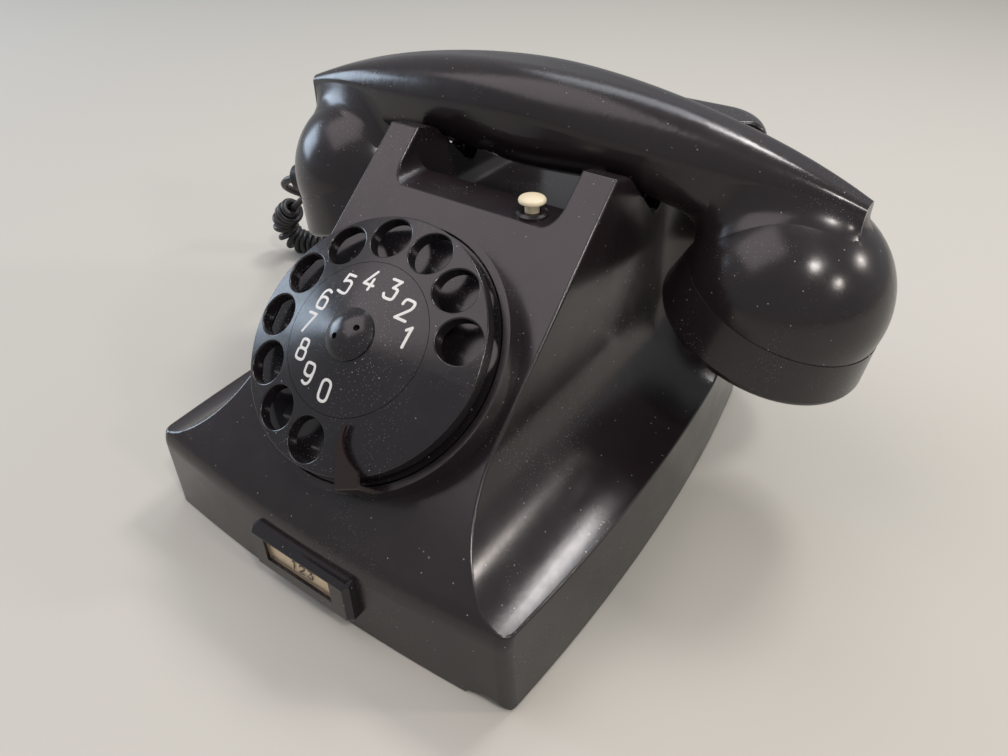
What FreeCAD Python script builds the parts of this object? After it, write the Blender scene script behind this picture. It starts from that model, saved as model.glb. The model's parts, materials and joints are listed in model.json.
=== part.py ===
"""Desk telephone in moulded bakelite, with a rotary dial, a cradle, a handset and an earth button.

Frame: +X to the right, the front faces -Y, +Z up, in millimetres.
The origin lies on the table, under the middle of the telephone.
Distances "from the front" start at the line through the two front corners of the skirt.
"""

import FreeCAD, Part
import math
import os
import Sketcher

V = FreeCAD.Vector

SIZES = {
    # Housing, as a whole
    "front_line": 90.0,
    "body_depth": 183.0,
    "widest_half": 74.0,
    "widest_from_front": 66.0,
    "side_radius": 640.0,
    "side_draft": 2.5,
    "front_radius": 700.0,
    "front_bow": 3.6,
    "front_corner_round": 4.0,
    "rear_corner_round": 18.0,
    "rear_lean": 8.0,
    "edge_gap": 0.8,
    "wall": 3.5,
    "panel_foot": 32.4,
    "panel_tilt": 40.57,
    "panel_round": 10.0,
    "ridge_round": 0.9,
    # Hollow in each side
    "scoop_radius": 29.3,
    "scoop_inset": 0.9,
    "scoop_height": 61.0,
    "scoop_end": 124.0,
    "scoop_draft": 2.2,
    # Cradle
    "cradle_half": 30.3,
    "cradle_floor": 100.0,
    "cradle_round": 5.0,
    "shelf_end": 93.0,
    "trough_floor": 86.0,
    "saddle_line": 121.0,
    "saddle_depth": 7.4,
    "saddle_round": 3.0,
    "horn_reach": 93.9,
    "horn_slope": 14.0,
    "horn_round": 6.0,
    "rear_horn_top": 115.5,
    "rear_horn_round": 7.0,
    "notch_across": 63.5,
    "notch_radius": 8.0,
    "notch_height": 3.6,
    # Dial
    "dial_up_slope": 52.7,
    "wheel_radius": 38.0,
    "wheel_thick": 4.0,
    "wheel_rise": 15.0,
    "wheel_slope": 11.0,
    "hub_radius": 11.0,
    "hole_circle": 30.6,
    "hole_radius": 6.35,
    "first_hole": 19.25,
    "hole_pitch": 27.63,
    "hole_round": 0.45,
    "disc_radius": 22.4,
    "disc_thick": 0.8,
    "nut_radius": 7.6,
    "nut_rise": 2.9,
    "pin_hole_radius": 0.9,
    "pin_hole_circle": 3.5,
    "pin_hole_turn": 38.0,
    "bezel_outer": 41.5,
    "bezel_inner": 39.4,
    "bezel_rise": 8.5,
    "case_radius": 35.0,
    "case_depth": 18.0,
    "case_wall": 1.2,
    "plate_radius": 38.8,
    "plate_rise": 7.4,
    "plate_thick": 1.0,
    "shaft_radius": 3.0,
    "gear_radius": 18.0,
    "gear_thick": 2.0,
    "gear_teeth": 36.0,
    "pinion_teeth": 12.0,
    "tooth_height": 1.3,
    "tooth_width": 1.0,
    "stop_turn": -64.5,
    "stop_root": 40.1,
    "stop_tip": 24.8,
    "stop_thick": 1.0,
    "stop_over_wheel": 1.2,
    "stop_left": 3.0,
    "stop_right": 4.2,
    # Earth button
    "button_across": 19.5,
    "button_from_front": 85.0,
    "button_cap_radius": 4.15,
    "button_cap_rise": 5.8,
    "button_stem_radius": 2.2,
    "button_stem_drop": 10.0,
    "collar_radius": 4.9,
    "collar_rise": 1.2,
    "button_travel": 2.5,
    # Number card on the skirt
    "label_half": 20.4,
    "label_low": 7.4,
    "label_high": 24.4,
    "label_depth": 4.2,
    "label_bevel": 1.6,
    "card_half": 13.5,
    "card_low": 13.6,
    "card_high": 22.4,
    "card_thick": 0.4,
    "window_thick": 0.6,
    # Handset
    "ear_beside": 12.5,
    "ear_drop": 20.4,
    "ear_tilt": 17.3,
    "mouth_beside": 5.8,
    "mouth_drop": 21.6,
    "mouth_tilt": 23.0,
    "dome_radius": 30.4,
    "dome_wall": 3.0,
    "cap_depth": 15.2,
    "cap_rim_radius": 33.2,
    "cap_wall": 2.6,
    "grip_thick": 32.1,
    "grip_top_radius": 275.0,
    "grip_half": 17.0,
    "grip_plan_radius": 414.0,
    "grip_under": 99.4,
    "grip_beyond": 16.5,
    "grip_corner": 13.0,
    "grip_under_corner": 14.5,
    "spine_corner": 2.4,
    "dome_blend": 5.0,
    "capsule_radius": 24.0,
    "capsule_thick": 9.0,
    "sound_hole": 1.3,
    # Inner pieces
    "clearance": 0.3,
    "plate_bottom": 2.2,
    "plate_sheet": 1.4,
    "foot_radius": 8.0,
    "boss_radius": 4.5,
    "screw_radius": 1.5,
    "screw_head": 2.8,
    "plunger_across": 36.0,
    "plunger_radius": 2.6,
    "bar_height": 70.0,
    "gong_radius": 25.0,
    "gong_across": 29.0,
    "gong_from_front": 147.0,
    "gong_rise": 12.0,
    "gong_wall": 1.4,
    # Cords
    "cord_radius": 1.6,
    "curl_radius": 6.7,
    "gland_length": 11.1,
    "gland_radius": 5.5,
    "gland_neck": 3.6,
    "base_gland_across": 30.0,
    "gland_out": 5.0,
    "grommet_bore": 2.6,
    "gland_turn": -12.0,
    "gland_dip": 14.0,
    "inlet_across": -26.0,
    "inlet_height": 11.0,
}


class Size:
    """A number together with the sheet expression that gives it."""

    def __init__(self, text, value):
        self.text = text
        self.value = value

    def combine(self, other, sign, value, swap=False):
        other = size(other)
        first, second = (other, self) if swap else (self, other)
        return Size(f"({first.text} {sign} {second.text})", value)

    def __add__(self, other):
        return self.combine(other, "+", self.value + size(other).value)

    def __radd__(self, other):
        return self.combine(other, "+", self.value + size(other).value, True)

    def __sub__(self, other):
        return self.combine(other, "-", self.value - size(other).value)

    def __rsub__(self, other):
        return self.combine(other, "-", size(other).value - self.value, True)

    def __mul__(self, other):
        return self.combine(other, "*", self.value * size(other).value)

    def __rmul__(self, other):
        return self.combine(other, "*", self.value * size(other).value, True)

    def __truediv__(self, other):
        return self.combine(other, "/", self.value / size(other).value)

    def __neg__(self):
        return Size(f"(-{self.text})", -self.value)


def size(number):
    """A Size, also from a plain number."""
    if isinstance(number, Size):
        return number
    return Size(repr(float(number)), float(number))


def sine(angle):
    return Size(f"sin({angle.text})", math.sin(math.radians(angle.value)))


def cosine(angle):
    return Size(f"cos({angle.text})", math.cos(math.radians(angle.value)))


def tangent(angle):
    return Size(f"tan({angle.text})", math.tan(math.radians(angle.value)))


def root(number):
    return Size(f"sqrt({number.text})", math.sqrt(number.value))


class Sheet:
    """The driving dimensions, read by name."""

    def __init__(self, cells):
        for row, (name, value) in enumerate(cells.items(), start=1):
            sheet.set(f"A{row}", name)
            sheet.set(f"B{row}", str(value))
            sheet.setAlias(f"B{row}", name)
            setattr(self, name, Size(f"Sizes.{name}", value))


doc = FreeCAD.newDocument("telephone")
sheet = doc.addObject("Spreadsheet::Sheet", "Sizes")
S = Sheet(SIZES)

# The handset lies in its saddle with its cups beside the housing.
SADDLE_APEX = S.grip_under - S.saddle_depth
GRIP_TOP = S.grip_under + S.grip_thick
EAR_ACROSS = S.widest_half + S.ear_beside
MOUTH_ACROSS = S.widest_half + S.mouth_beside
EAR_HEIGHT = S.grip_under - S.ear_drop
MOUTH_HEIGHT = S.grip_under - S.mouth_drop
GRIP_END = EAR_ACROSS + S.grip_beyond
SCOOP_ACROSS = S.widest_half - S.scoop_inset
doc.recompute()
NODES = []


# ---------------------------------------------------------------- helpers


def bind(thing, prop, value):
    """Sets a property, and ties it to the sheet."""
    value = size(value)
    if "." not in prop:
        setattr(thing, prop, value.value)
    thing.setExpression(prop, value.text)


def place(thing, x=0, y=0, z=0, axis=None, turn=0):
    """Puts a solid at x, y, z, turned about one axis through that point."""
    x, y, z, turn = size(x), size(y), size(z), size(turn)
    rotation = FreeCAD.Rotation(axis or V(0, 0, 1), turn.value)
    thing.Placement = FreeCAD.Placement(V(x.value, y.value, z.value), rotation)
    thing.setExpression("Placement.Base.x", x.text)
    thing.setExpression("Placement.Base.y", y.text)
    thing.setExpression("Placement.Base.z", z.text)
    if axis is not None:
        thing.setExpression("Placement.Rotation.Angle", turn.text)
    return thing


def box(name, x, y, z):
    """A box between two x, two y and two z, standing in the row frame."""
    solid = doc.addObject("Part::Box", name)
    for prop, (low, high) in (("Length", x), ("Width", y), ("Height", z)):
        bind(solid, prop, size(high) - size(low))
    return place(solid, x[0], y[0], z[0])


def slab(name, length, width, height, x=0, y=0, z=0, axis=None, turn=0):
    """A box of three sizes, turned about its own corner."""
    solid = doc.addObject("Part::Box", name)
    for prop, value in (("Length", length), ("Width", width), ("Height", height)):
        bind(solid, prop, value)
    return place(solid, x, y, z, axis, turn)


def cylinder(name, radius, height, x=0, y=0, z=0, axis=None, turn=0):
    solid = doc.addObject("Part::Cylinder", name)
    bind(solid, "Radius", radius)
    bind(solid, "Height", height)
    return place(solid, x, y, z, axis, turn)


def cone(name, low_radius, high_radius, height, x=0, y=0, z=0, axis=None, turn=0):
    solid = doc.addObject("Part::Cone", name)
    bind(solid, "Radius1", low_radius)
    bind(solid, "Radius2", high_radius)
    bind(solid, "Height", height)
    return place(solid, x, y, z, axis, turn)


def sphere(name, radius, x=0, y=0, z=0):
    solid = doc.addObject("Part::Sphere", name)
    bind(solid, "Radius", radius)
    return place(solid, x, y, z)


def common(name, *shapes):
    solid = doc.addObject("Part::MultiCommon", name)
    solid.Shapes = list(shapes)
    return solid


def fuse(name, *shapes):
    solid = doc.addObject("Part::MultiFuse", name)
    solid.Shapes = list(shapes)
    return solid


def cut(name, base, *tools):
    solid = doc.addObject("Part::Cut", name)
    solid.Base = base
    solid.Tool = tools[0] if len(tools) == 1 else fuse(name + "_tools", *tools)
    return solid


def mirror(name, source):
    """The same shape on the other side of the middle plane."""
    solid = doc.addObject("Part::Mirroring", name)
    solid.Source = source
    solid.Normal = V(1, 0, 0)
    solid.Base = V(0, 0, 0)
    return solid


def round_edges(name, base, radius, chosen, kind="Part::Fillet"):
    """Rounds or bevels every edge that chosen(edge) picks."""
    doc.recompute()
    picked = [i for i, edge in enumerate(base.Shape.Edges, 1) if chosen(edge)]
    if not picked:
        raise ValueError(f"{name}: no edge to round")
    solid = doc.addObject(kind, name)
    solid.Base = base
    value = size(radius).value
    solid.Edges = [(i, value, value) for i in picked]
    return solid


def straight(edge):
    """Whether an edge is as long as the line between its ends."""
    chord = edge.Vertexes[-1].Point - edge.Vertexes[0].Point
    return abs(chord.Length - edge.Length) < 1e-5


def along(edge, direction):
    """Whether an edge is straight and runs along a direction."""
    if not straight(edge):
        return False
    chord = edge.Vertexes[-1].Point - edge.Vertexes[0].Point
    return abs(chord.normalize().dot(direction)) > 0.999


def middle(edge):
    return edge.CenterOfMass


def outline(sketch, points):
    """Draws a closed outline. Each point is x, y and, where an arc runs to the next one, its radius.

    A radius above 0 turns the arc to the left of its chord, below 0 to the right.
    """
    edges = []
    count = len(points)
    for i, point in enumerate(points):
        start = V(size(point[0]).value, size(point[1]).value, 0)
        after = points[(i + 1) % count]
        end = V(size(after[0]).value, size(after[1]).value, 0)
        if len(point) == 2:
            edges.append(sketch.addGeometry(Part.LineSegment(start, end), False))
            continue
        radius = size(point[2]).value
        chord = end - start
        half = chord.Length / 2
        rise = abs(radius) - math.sqrt(max(radius * radius - half * half, 0))
        side = V(-chord.y, chord.x, 0).normalize() * math.copysign(rise, -radius)
        edges.append(sketch.addGeometry(Part.Arc(start, (start + end) / 2 + side, end), False))
    arcs = [len(point) == 3 for point in points]
    ends = []
    for i, edge in enumerate(edges):
        # An arc runs counter-clockwise in a sketch, so its first point may be its end.
        turned = arcs[i] and size(points[i][2]).value < 0
        ends.append((2, 1) if turned else (1, 2))
    for i, edge in enumerate(edges):
        following = (i + 1) % count
        sketch.addConstraint(
            Sketcher.Constraint("Coincident", edge, ends[i][1], edges[following], ends[following][0])
        )
    for i, edge in enumerate(edges):
        for kind, value in (("DistanceX", points[i][0]), ("DistanceY", points[i][1])):
            value = size(value)
            place_at = Sketcher.Constraint(kind, -1, 1, edge, ends[i][0], value.value)
            index = sketch.addConstraint(place_at)
            sketch.setExpression(f"Constraints[{index}]", value.text)
        if arcs[i]:
            value = size(points[i][2])
            value = value if value.value > 0 else -value
            index = sketch.addConstraint(Sketcher.Constraint("Radius", edge, value.value))
            sketch.setExpression(f"Constraints[{index}]", value.text)


def sketch_in(body, name, role, points):
    """A sketch on one of the body's own planes."""
    sketch = body.newObject("Sketcher::SketchObject", name)
    plane = [feature for feature in body.Origin.OriginFeatures if feature.Role == role][0]
    sketch.AttachmentSupport = (plane, "")
    sketch.MapMode = "FlatFace"
    outline(sketch, points)
    return sketch


def turned(name, points, **where):
    """A body of revolution about its own Z. Its points are radius and height."""
    body = doc.addObject("PartDesign::Body", name)
    sketch = sketch_in(body, name + "_profile", "XZ_Plane", points)
    feature = body.newObject("PartDesign::Revolution", name + "_turn")
    feature.Profile = sketch
    feature.ReferenceAxis = (sketch, ["V_Axis"])
    feature.Angle = 360
    return place(body, **where)


def padded(name, role, points, depth, **where):
    """A body padded from an outline, equally to both sides of its plane."""
    body = doc.addObject("PartDesign::Body", name)
    sketch = sketch_in(body, name + "_profile", role, points)
    feature = body.newObject("PartDesign::Pad", name + "_pad")
    feature.Profile = sketch
    bind(feature, "Length", depth)
    feature.Midplane = True
    return place(body, **where)


def node(name, solid):
    """Names the sub-part. Its label is also its file's name."""
    solid.Label = name
    NODES.append((name, solid))
    return solid


def from_front(distance):
    """The Y of a distance from the front corners."""
    return distance - S.front_line


# ---------------------------------------------------------------- places on the dial's own axis

DIAL_Y = from_front(S.dial_up_slope * cosine(S.panel_tilt))
DIAL_Z = S.panel_foot + S.dial_up_slope * sine(S.panel_tilt)


def dial_place(rise=0, right=0, up=0, turn=None):
    """Keywords for place(): a point on the dial, rise above the panel, right and up the slope."""
    y = DIAL_Y - size(rise) * sine(S.panel_tilt) + size(up) * cosine(S.panel_tilt)
    z = DIAL_Z + size(rise) * cosine(S.panel_tilt) + size(up) * sine(S.panel_tilt)
    return {"x": right, "y": y, "z": z, "axis": V(1, 0, 0), "turn": S.panel_tilt}


# ---------------------------------------------------------------- housing


def blank(tag, inset, high):
    """The plain block that the housing is moulded around: bowed sides and front, leaning rear."""
    sides = []
    inset = size(inset)
    # The round tools stand out below and above the block, so that no two faces lie in one plane.
    spare = 10
    rise = size(high) + 2 * spare
    low_radius = S.side_radius - inset + spare * tangent(S.side_draft)
    centre = S.widest_half - S.side_radius
    # Each cone is turned so that its seam lies away from the block.
    for hand, across, seam in (("right", centre, 180), ("left", -centre, 0)):
        sides.append(
            cone(
                f"{tag}_{hand}_side",
                low_radius,
                low_radius - rise * tangent(S.side_draft),
                rise,
                x=across,
                y=from_front(S.widest_from_front),
                z=-spare,
                axis=V(0, 0, 1),
                turn=seam,
            )
        )
    front_y = S.front_radius - S.front_bow
    front = cylinder(
        f"{tag}_front", S.front_radius - inset, rise, y=from_front(front_y), z=-spare
    )
    half = S.widest_half + 5
    depth = (from_front(-S.front_bow - 5), from_front(S.body_depth + 5))
    core = box(f"{tag}_core", (-half, half), depth, (0, high))
    body = common(f"{tag}_blank", core, front, *sides)
    back = slab(
        f"{tag}_back",
        2 * half,
        80,
        220,
        x=-half,
        y=from_front(S.body_depth - inset / cosine(S.rear_lean) + 20 * tangent(S.rear_lean)),
        z=-20,
        axis=V(1, 0, 0),
        turn=S.rear_lean,
    )
    return cut(f"{tag}_leaning", body, back)


def panel_tool(tag, inset):
    """Everything above the sloping front panel."""
    return slab(
        f"{tag}_panel",
        300,
        400,
        150,
        x=-150,
        y=from_front(inset * sine(S.panel_tilt) - 100 * cosine(S.panel_tilt)),
        z=S.panel_foot - inset * cosine(S.panel_tilt) - 100 * sine(S.panel_tilt),
        axis=V(1, 0, 0),
        turn=S.panel_tilt,
    )


def scoop_tools(tag, inset):
    """The hollow in each side: a lying cylinder that ends in a ball, open above."""
    radius = S.scoop_radius + inset
    end = from_front(S.scoop_end)
    length = S.scoop_end + 40
    height = 75
    lying = cylinder(
        f"{tag}_scoop_side",
        radius,
        length,
        x=SCOOP_ACROSS,
        y=end,
        z=S.scoop_height,
        axis=V(1, 0, 0),
        turn=90,
    )
    ball = sphere(f"{tag}_scoop_ball", radius, x=SCOOP_ACROSS, y=end, z=S.scoop_height)
    above = cone(
        f"{tag}_scoop_above",
        radius,
        radius + height * tangent(S.scoop_draft),
        height,
        x=SCOOP_ACROSS,
        y=end,
        z=S.scoop_height,
    )
    open_side = slab(
        f"{tag}_scoop_open",
        70,
        length,
        height,
        x=SCOOP_ACROSS - radius,
        y=end - length,
        z=S.scoop_height,
        axis=V(0, 1, 0),
        turn=-S.scoop_draft,
    )
    right = fuse(f"{tag}_scoop", lying, ball, above, open_side)
    return right, mirror(f"{tag}_scoop_left", right)


def upright(edge):
    """Whether an edge runs up the body."""
    start, end = edge.Vertexes[0].Point, edge.Vertexes[-1].Point
    return abs(end.z - start.z) > 0.8 * edge.Length and edge.Length > 20


def housing():
    outer = blank("outer", 0, S.rear_horn_top)
    corner_y = from_front(0).value + 20

    outer = round_edges(
        "outer_rear_round",
        outer,
        S.rear_corner_round,
        lambda edge: upright(edge) and middle(edge).y > corner_y,
    )
    outer = cut("outer_sloped", outer, panel_tool("outer", size(0)))
    foot = S.panel_foot.value

    def brow(edge):
        limits = edge.BoundBox
        return limits.ZMax < foot + 8 and limits.ZMin > foot - 12 and limits.YMax < corner_y - 8

    outer = round_edges("outer_brow", outer, S.panel_round, brow)
    outer = round_edges(
        "outer_front_round",
        outer,
        S.front_corner_round,
        lambda edge: upright(edge) and middle(edge).y < corner_y,
    )
    cradle = box(
        "cradle_cut",
        (-S.cradle_half, S.cradle_half),
        (from_front(50), from_front(S.body_depth + 10)),
        (S.cradle_floor, 160),
    )
    cradle = round_edges(
        "cradle_cut_round",
        cradle,
        S.cradle_round,
        lambda edge: low_side(edge, S.cradle_floor),
    )
    trough = box(
        "trough_cut",
        (-S.cradle_half, S.cradle_half),
        (from_front(S.shelf_end), from_front(S.body_depth + 10)),
        (S.trough_floor, 160),
    )
    trough = round_edges(
        "trough_cut_round",
        trough,
        S.cradle_round,
        lambda edge: low_side(edge, S.trough_floor),
    )
    saddle = slab(
        "saddle_cut",
        200,
        80,
        80,
        x=-100,
        y=from_front(S.saddle_line),
        z=SADDLE_APEX,
        axis=V(1, 0, 0),
        turn=45,
    )
    saddle = round_edges(
        "saddle_cut_round",
        saddle,
        S.saddle_round,
        lambda edge: along(edge, V(1, 0, 0)) and middle(edge).z < SADDLE_APEX.value + 1,
    )
    horn_top = S.panel_foot + S.horn_reach * tangent(S.panel_tilt)
    horn = slab(
        "horn_cut",
        200,
        60,
        60,
        x=-100,
        y=from_front(S.horn_reach) - 30 * cosine(S.horn_slope),
        z=horn_top + 30 * sine(S.horn_slope),
        axis=V(1, 0, 0),
        turn=-S.horn_slope,
    )
    # The part of the slope's box that reaches behind the saddle would cut the rear horns.
    horn = common(
        "horn_cut_front",
        horn,
        box("horn_cut_limit", (-100, 100), (from_front(0), from_front(S.saddle_line)), (0, 200)),
    )
    outer = cut("outer_cradle", outer, cradle, trough, saddle, horn)
    outer = cut("outer_scooped", outer, *scoop_tools("outer", size(0)))

    top = S.rear_horn_top.value
    saddle_y = from_front(S.saddle_line).value

    apex, floor = SADDLE_APEX.value, S.cradle_floor.value

    def front_horn_crest(edge):
        spot = middle(edge)
        # The saddle's front face rises at 45 degrees, and meets the cradle floor on its way.
        on_saddle = abs(spot.y + spot.z - saddle_y - apex) < 0.01
        return along(edge, V(1, 0, 0)) and on_saddle and spot.z > apex + 1 and abs(spot.z - floor) > 0.01

    outer = round_edges("outer_horns", outer, S.horn_round, front_horn_crest)

    def rear_horn_crest(edge):
        spot = middle(edge)
        return along(edge, V(1, 0, 0)) and spot.y > saddle_y + 5 and spot.z > top - 1

    outer = round_edges("outer_rear_horns", outer, S.rear_horn_round, rear_horn_crest)

    slope = math.radians(S.panel_tilt.value)
    upward = V(0, -math.sin(slope), math.cos(slope))
    panel_foot = V(0, from_front(0).value, foot)

    def straight_on_panel(edge):
        if not straight(edge):
            return False
        return all(abs((corner.Point - panel_foot).dot(upward)) < 0.01 for corner in edge.Vertexes)

    # The ridges beside the dial run on round the side hollows, and are rounded with them.
    outer = round_edges("outer_ridges", outer, S.ridge_round, straight_on_panel)

    inner = blank("inner", S.wall, S.cradle_floor - S.wall)
    inner = round_edges(
        "inner_rear_round",
        inner,
        S.rear_corner_round - S.wall,
        lambda edge: upright(edge) and middle(edge).y > corner_y,
    )
    inner = cut(
        "inner_sloped",
        inner,
        panel_tool("inner", S.wall),
        box(
            "inner_roof",
            (-100, 100),
            (from_front(S.shelf_end - S.wall), from_front(S.body_depth + 20)),
            (S.trough_floor - S.wall, 150),
        ),
        *scoop_tools("inner", S.wall),
    )
    bosses = []
    drills = []
    for number, (x, y) in enumerate(boss_places()):
        bosses.append(
            cylinder(f"boss_{number}", S.boss_radius, 32, x, y, S.plate_bottom + S.plate_sheet)
        )
        drills.append(
            cylinder(f"boss_drill_{number}", S.screw_radius + 0.05, 13, x, y, S.plate_bottom)
        )
    inner = cut("inner_around_bosses", inner, *bosses)
    bezel = cut(
        "bezel",
        cylinder("bezel_outside", S.bezel_outer, S.bezel_rise + 1, **dial_place(-1)),
        cylinder("bezel_inside", S.bezel_inner, S.bezel_rise + 3, **dial_place(-2)),
    )
    solid = fuse("housing_walls", cut("housing_hollow", outer, inner), bezel)
    button_y = from_front(S.button_from_front)
    openings = [
        box("under_edge", (-200, 200), (-200, 200), (-20, S.edge_gap)),
        cylinder("dial_opening", S.case_radius + S.clearance, S.wall * 6, **dial_place(-S.wall * 3)),
        cylinder(
            "button_opening",
            S.button_stem_radius + S.clearance,
            20,
            S.button_across,
            button_y,
            S.cradle_floor - 12,
        ),
        cylinder(
            "notch",
            S.notch_radius,
            12,
            x=S.notch_across,
            y=from_front(8),
            z=S.edge_gap + S.notch_height - S.notch_radius,
            axis=V(1, 0, 0),
            turn=90,
        ),
    ]
    for hand, across in (("right", S.plunger_across), ("left", -S.plunger_across)):
        openings.append(
            cylinder(
                f"plunger_opening_{hand}",
                S.plunger_radius + S.clearance,
                40,
                across,
                from_front(S.saddle_line),
                SADDLE_APEX - 30,
            )
        )
    for name, across in (("cord_hole", S.base_gland_across), ("line_hole", S.inlet_across)):
        openings.append(
            cylinder(
                name,
                S.gland_radius,
                30,
                x=across,
                y=from_front(S.body_depth + 12),
                z=S.inlet_height,
                axis=V(1, 0, 0),
                turn=90,
            )
        )
    return cut("housing_solid", solid, *openings, *drills)


def low_side(edge, floor):
    """Whether an edge runs front to back, at the floor of a cut."""
    return along(edge, V(0, 1, 0)) and abs(middle(edge).z - floor.value) < 0.1


def boss_places():
    """The four corners that the base is screwed to."""
    front, rear = from_front(13), from_front(S.body_depth - 9)
    wide, narrow = S.widest_half - 15, S.widest_half - 30
    return [(wide, front), (-wide, front), (narrow, rear), (-narrow, rear)]


def foot_places():
    front, rear = from_front(16), from_front(S.body_depth - 18)
    wide, narrow = S.widest_half - 32, S.widest_half - 42
    return [(wide, front), (-wide, front), (narrow, rear), (-narrow, rear)]


# ---------------------------------------------------------------- base


def base_plate():
    low, high = S.plate_bottom, S.plate_bottom + S.plate_sheet
    corner_y = from_front(0).value + 20
    column = round_edges(
        "plate_round",
        blank("plate", S.wall + S.clearance, S.cradle_floor),
        S.rear_corner_round - S.wall,
        lambda edge: upright(edge) and middle(edge).y > corner_y,
    )
    half = S.widest_half + 5
    slice_of = box(
        "plate_slice",
        (-half, half),
        (from_front(-20), from_front(S.body_depth + 20)),
        (low, high),
    )
    sheet_metal = common("plate_sheet_metal", column, slice_of)
    holes = [
        cylinder(f"plate_hole_{i}", S.screw_radius + 0.2, 8, x, y, 0)
        for i, (x, y) in enumerate(boss_places())
    ]
    return cut("plate_solid", sheet_metal, *holes)


def base_screws():
    screws = []
    for i, (x, y) in enumerate(boss_places()):
        head = cylinder(f"screw_head_{i}", S.screw_head, 1.2, x, y, S.plate_bottom - 1.2)
        shank = cylinder(f"screw_shank_{i}", S.screw_radius, 11, x, y, S.plate_bottom - 0.5)
        screws.append(fuse(f"screw_{i}", head, shank))
    return compound("screws", screws)


def compound(name, solids):
    """Separate solids in one node."""
    group = doc.addObject("Part::Compound", name)
    group.Links = solids
    return group


def rubber_feet():
    feet = []
    for i, (x, y) in enumerate(foot_places()):
        feet.append(cone(f"foot_{i}", S.foot_radius - 0.8, S.foot_radius, S.plate_bottom, x, y, 0))
    return compound("feet", feet)


# ---------------------------------------------------------------- number card


def label_face():
    """The Y of the skirt's front face behind the label."""
    return from_front(-S.front_bow)


def label_frame():
    back = label_face() + 0.5
    front = label_face() - S.label_depth + 0.5
    frame = box(
        "label_block", (-S.label_half, S.label_half), (front, back), (S.label_low, S.label_high)
    )
    frame = round_edges(
        "label_corners",
        frame,
        S.label_bevel + 0.6,
        lambda edge: along(edge, V(0, 1, 0)),
    )
    front_y = front.value
    frame = round_edges(
        "label_bevels",
        frame,
        S.label_bevel,
        lambda edge: abs(middle(edge).y - front_y) < 0.01,
        "Part::Chamfer",
    )
    window = box(
        "label_window_cut",
        (-S.card_half, S.card_half),
        (front - 1, front + 1.4),
        (S.card_low, S.card_high),
    )
    pocket = box(
        "label_pocket",
        (-S.card_half - 1.5, S.card_half + 1.5),
        (front + 1.0, back + 1),
        (S.card_low - 1.5, S.card_high + 1),
    )
    skirt = cylinder(
        "label_back",
        S.front_radius,
        60,
        y=from_front(S.front_radius - S.front_bow),
        z=0,
    )
    return cut("label_frame_solid", frame, window, pocket, skirt)


def label_card():
    front = label_face() - S.label_depth + 1.5 + S.window_thick
    return box(
        "card",
        (-S.card_half - 1.2, S.card_half + 1.2),
        (front, front + S.card_thick),
        (S.card_low - 1.2, S.card_high + 0.7),
    )


def label_window():
    front = label_face() - S.label_depth + 1.5
    return box(
        "window",
        (-S.card_half - 1.2, S.card_half + 1.2),
        (front, front + S.window_thick),
        (S.card_low - 1.2, S.card_high + 0.7),
    )


# ---------------------------------------------------------------- dial


def dial_case():
    """The cup behind the finger wheel, with the flange that lies on the panel."""
    flange = cylinder("case_flange", S.plate_radius, S.plate_rise, **dial_place(0))
    cup = cylinder("case_cup", S.case_radius, S.case_depth + 1, **dial_place(-S.case_depth))
    inside = cylinder(
        "case_inside",
        S.case_radius - S.case_wall,
        S.case_depth + S.plate_rise - S.case_wall + 1,
        **dial_place(-S.case_depth + S.case_wall),
    )
    bearing = cylinder(
        "case_bearing",
        S.shaft_radius + 2.5,
        S.case_wall + 4,
        **dial_place(-S.case_depth),
    )
    bore = cylinder(
        "case_bore",
        S.shaft_radius + 0.05,
        S.case_wall + 10,
        **dial_place(-S.case_depth - 2),
    )
    shell = cut("case_shell", fuse("case_whole", flange, cup), inside)
    return cut("case_solid", fuse("case_hollow", shell, bearing), bore)


def dial_plate():
    """The plate under the finger holes."""
    disc = cylinder("plate_disc", S.plate_radius, S.plate_thick, **dial_place(S.plate_rise))
    bore = cylinder("plate_bore", S.shaft_radius + 2.0, 6, **dial_place(S.plate_rise - 2))
    return cut("dial_plate_solid", disc, bore)


def cone_height(radius):
    """How high the wheel's conical face stands above its rim, at a radius."""
    return (S.wheel_radius - radius) * tangent(S.wheel_slope)


def finger_wheel():
    """Shallow cone with ten finger holes, and a step for the number disc."""
    bore, thick, edge = S.shaft_radius + 0.05, S.wheel_thick, S.disc_radius + 0.15
    hub = cone_height(S.hub_radius) - thick
    seat = cone_height(S.nut_radius) - S.disc_thick
    disc = turned(
        "wheel_disc",
        [
            (bore, hub),
            (S.hub_radius, hub),
            (S.wheel_radius, -thick),
            (S.wheel_radius, 0),
            (edge, cone_height(edge)),
            (edge, cone_height(edge) - S.disc_thick),
            (S.nut_radius, seat),
            (bore, seat),
        ],
    )
    tools = []
    for number in range(10):
        turn = S.first_hole + number * S.hole_pitch
        x, y = S.hole_circle * cosine(turn), S.hole_circle * sine(turn)
        tools.append(cylinder(f"finger_hole_{number}", S.hole_radius, 20, x, y, -10))
    drilled = cut("wheel_drilled", disc, *tools)

    def upper_rim(edge):
        spot, width = middle(edge), edge.BoundBox.XLength
        hole = math.hypot(spot.x, spot.y) > S.hub_radius.value
        outside = width > 2 * S.disc_radius.value + 1
        return spot.z > -1 and not straight(edge) and (hole or outside)

    solid = round_edges("wheel_rounded", drilled, S.hole_round, upper_rim)
    return place(solid, **dial_place(S.wheel_rise))


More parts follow.
